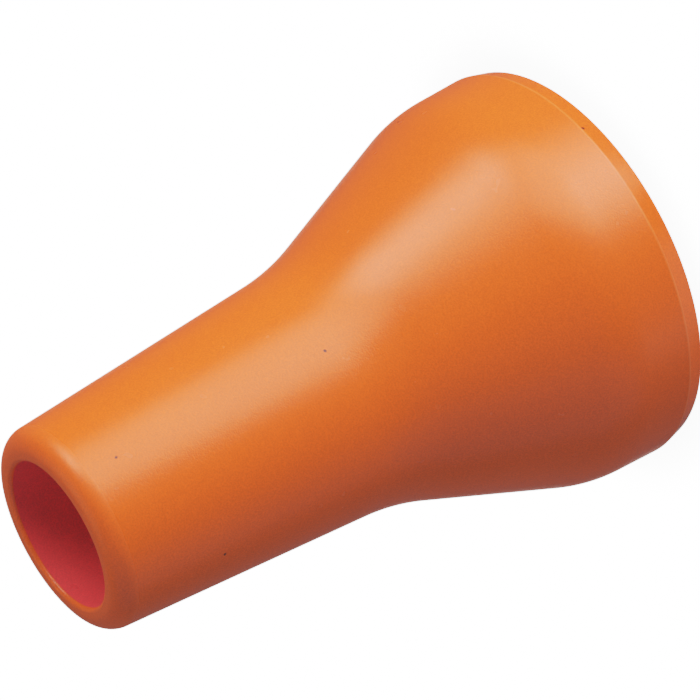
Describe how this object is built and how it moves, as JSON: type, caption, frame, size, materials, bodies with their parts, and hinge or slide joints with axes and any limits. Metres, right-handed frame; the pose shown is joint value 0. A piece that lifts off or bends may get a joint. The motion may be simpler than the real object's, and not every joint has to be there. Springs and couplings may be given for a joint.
{
  "type": "dust blower nozzle",
  "caption": "Round blow-off nozzle for a ball-and-socket air hose: a bell with a spherical snap socket necks down to a tapered tube with an open bore and a rounded lip.",
  "frame": {"origin": "centre of the socket's rim face, which the nozzle stands on", "axes": "+Z along the nozzle's axis, from the socket towards the outlet; X and Y are any two directions square to it"},
  "size_m": [0.026, 0.026, 0.0385],
  "materials": {
    "orange_plastic": "satin injection-moulded acetal, fine spark-eroded grain, a few dark pigment specks"
  },
  "bodies": {
    "root": {"nozzle_body": "orange_plastic"}
  },
  "joints": []
}
